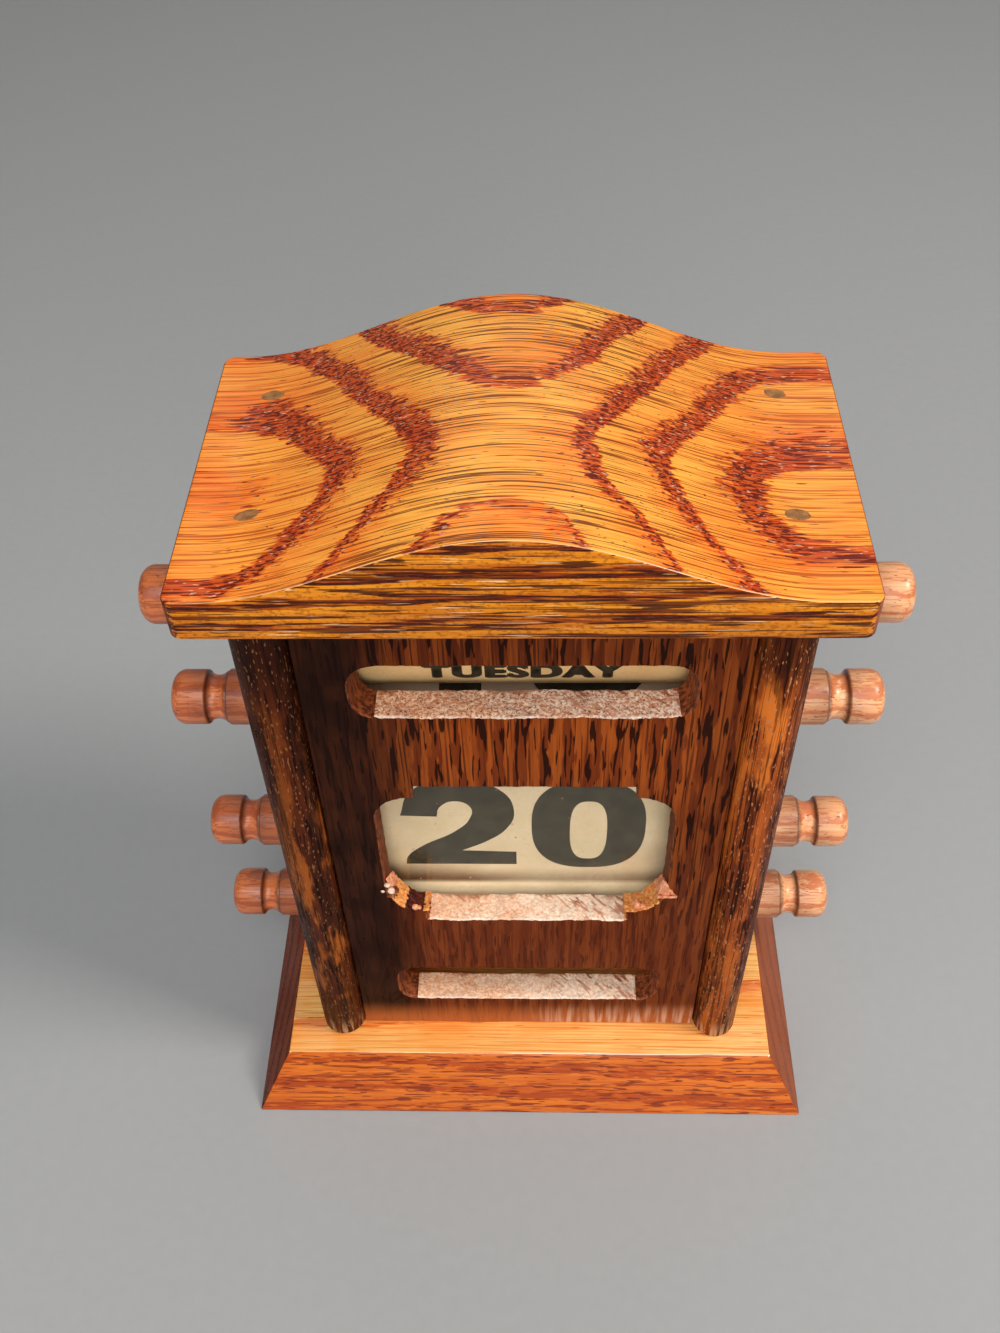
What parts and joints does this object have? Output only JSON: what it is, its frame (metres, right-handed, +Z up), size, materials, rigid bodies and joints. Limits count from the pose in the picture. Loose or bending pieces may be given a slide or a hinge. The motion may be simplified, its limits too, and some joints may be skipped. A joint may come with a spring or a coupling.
{
  "type": "perpetual desk calendar",
  "caption": "Small wooden desk calendar: knobs at the sides turn a weekday drum, a date scroll and a month drum behind windows in a roofed case.",
  "frame": {"origin": "middle of the base board's underside, on the surface that the calendar stands on", "axes": "+Z up, the windows face -Y, the rollers and knobs lie along X"},
  "size_m": [0.121, 0.065, 0.1515],
  "materials": {
    "golden_oak": "glossy golden orange stained oak with dark red-brown grain",
    "dark_oak": "satin dark red-brown stained oak",
    "turned_oak": "satin red-brown stained turned wood",
    "bare_wood": "unfinished pale wood",
    "aged_paper": "matt aged printed strip",
    "window_glass": "clear thin pane",
    "steel": "dull bare steel",
    "brad_iron": "dark stained iron"
  },
  "bodies": {
    "case": {"base_plate": "golden_oak", "roof_board": "golden_oak", "left_side_board": "dark_oak", "right_side_board": "dark_oak", "front_panel": "dark_oak", "back_panel": "dark_oak", "date_glass": "window_glass", "glass_bead_left": "bare_wood", "glass_bead_right": "bare_wood", "date_paper_span": "aged_paper", "roof_brad_front_left": "brad_iron", "roof_brad_back_left": "brad_iron", "roof_brad_front_right": "brad_iron", "roof_brad_back_right": "brad_iron", "base_screw_front_left": "steel", "base_screw_back_left": "steel", "base_screw_front_right": "steel", "base_screw_back_right": "steel", "back_screw_top_left": "steel", "back_screw_bottom_left": "steel", "back_screw_top_right": "steel", "back_screw_bottom_right": "steel"},
    "weekday_roller_set": {"weekday_drum": "bare_wood", "weekday_label": "aged_paper", "weekday_knob_left": "turned_oak", "weekday_knob_right": "turned_oak"},
    "date_upper_roller_set": {"date_upper_roller": "bare_wood", "date_upper_paper_roll": "aged_paper", "date_upper_knob_left": "turned_oak", "date_upper_knob_right": "turned_oak"},
    "date_lower_roller_set": {"date_lower_roller": "bare_wood", "date_lower_paper_roll": "aged_paper", "date_lower_knob_left": "turned_oak", "date_lower_knob_right": "turned_oak"},
    "month_roller_set": {"month_drum": "bare_wood", "month_label": "aged_paper", "month_knob_left": "turned_oak", "month_knob_right": "turned_oak"}
  },
  "joints": [
    {"name": "weekday_turn", "type": "hinge", "parent": "case", "child": "weekday_roller_set", "pos_m": [0, 0.002, 0.11419], "axis": [1, 0, 0], "continuous": true},
    {"name": "date_upper_turn", "type": "hinge", "parent": "case", "child": "date_upper_roller_set", "pos_m": [0, 0.002, 0.0895], "axis": [1, 0, 0], "range_deg": [-2560, 6390]},
    {"name": "date_lower_turn", "type": "hinge", "parent": "case", "child": "date_lower_roller_set", "pos_m": [0, 0.002, 0.0535], "axis": [1, 0, 0], "range_deg": [-2090, 5210]},
    {"name": "month_turn", "type": "hinge", "parent": "case", "child": "month_roller_set", "pos_m": [0, 0.002, 0.0283], "axis": [1, 0, 0], "continuous": true}
  ],
  "couplings": [
    {"joint": "date_lower_turn", "follows": "date_upper_turn", "ratio": 0.8139}
  ]
}
